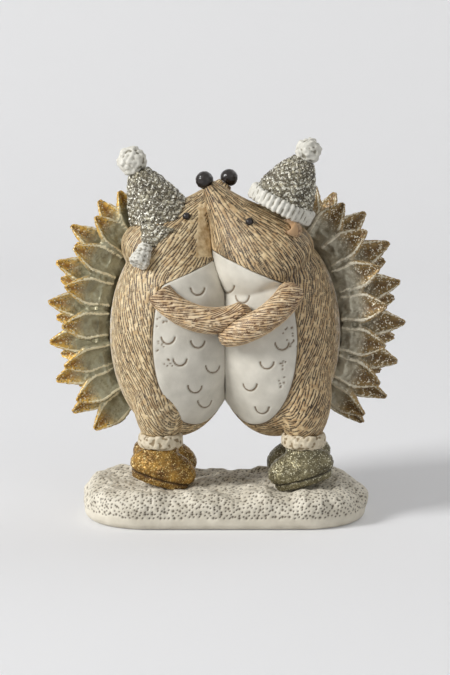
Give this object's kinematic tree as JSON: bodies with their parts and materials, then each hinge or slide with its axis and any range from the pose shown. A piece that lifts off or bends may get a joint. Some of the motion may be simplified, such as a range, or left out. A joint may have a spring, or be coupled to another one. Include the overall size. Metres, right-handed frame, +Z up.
{
  "type": "hedgehog pair figurine",
  "caption": "Ornament of hedgehogs in knitted hats and boots hugging on a snowy base, with leaf-shaped quills, for standing on a shelf.",
  "frame": {"origin": "on the floor, at the middle of the snowy base's flat underside", "axes": "+Z up; -Y to the front, the side with the bellies; +X to the viewer's right from the front"},
  "size_m": [0.1122, 0.0686, 0.118],
  "materials": {
    "snow_white": "matt off-white paint over pitted cast resin",
    "fur_tan": "tan paint with a brown wash in carved fur lines",
    "belly_white": "smooth matt warm white paint with engraved marks",
    "quill_gold": "satin champagne paint with gold glitter at the tips",
    "quill_silver": "satin champagne-silver paint with fine glitter",
    "hat_glitter": "knit texture in silver, gold and dark glitter",
    "wool_white": "matt white paint on woolly texture",
    "boot_gold": "gold glitter paint",
    "boot_silver": "champagne-silver glitter paint",
    "gloss_black": "glossy black-brown paint"
  },
  "bodies": {
    "root": {"left_belly": "belly_white", "left_body": "fur_tan", "left_front_arm": "fur_tan", "left_front_boot": "boot_gold", "left_front_cuff": "wool_white", "left_front_ear_flap": "hat_glitter", "left_front_eye": "gloss_black", "left_front_sole": "boot_gold", "left_front_tassel": "wool_white", "left_hat": "hat_glitter", "left_head": "fur_tan", "left_nose": "gloss_black", "left_pompom": "wool_white", "left_quill_coat": "quill_gold", "left_rear_arm": "fur_tan", "left_rear_boot": "boot_gold", "left_rear_cuff": "wool_white", "left_rear_ear_flap": "hat_glitter", "left_rear_eye": "gloss_black", "left_rear_sole": "boot_gold", "left_rear_tassel": "wool_white", "right_belly": "belly_white", "right_body": "fur_tan", "right_front_arm": "fur_tan", "right_front_boot": "boot_silver", "right_front_cuff": "wool_white", "right_front_ear": "fur_tan", "right_front_eye": "gloss_black", "right_front_sole": "boot_silver", "right_hat": "hat_glitter", "right_hat_brim": "wool_white", "right_head": "fur_tan", "right_nose": "gloss_black", "right_pompom": "wool_white", "right_quill_coat": "quill_silver", "right_rear_arm": "fur_tan", "right_rear_boot": "boot_silver", "right_rear_cuff": "wool_white", "right_rear_ear": "fur_tan", "right_rear_eye": "gloss_black", "right_rear_sole": "boot_silver", "snow_base": "snow_white"}
  },
  "joints": []
}
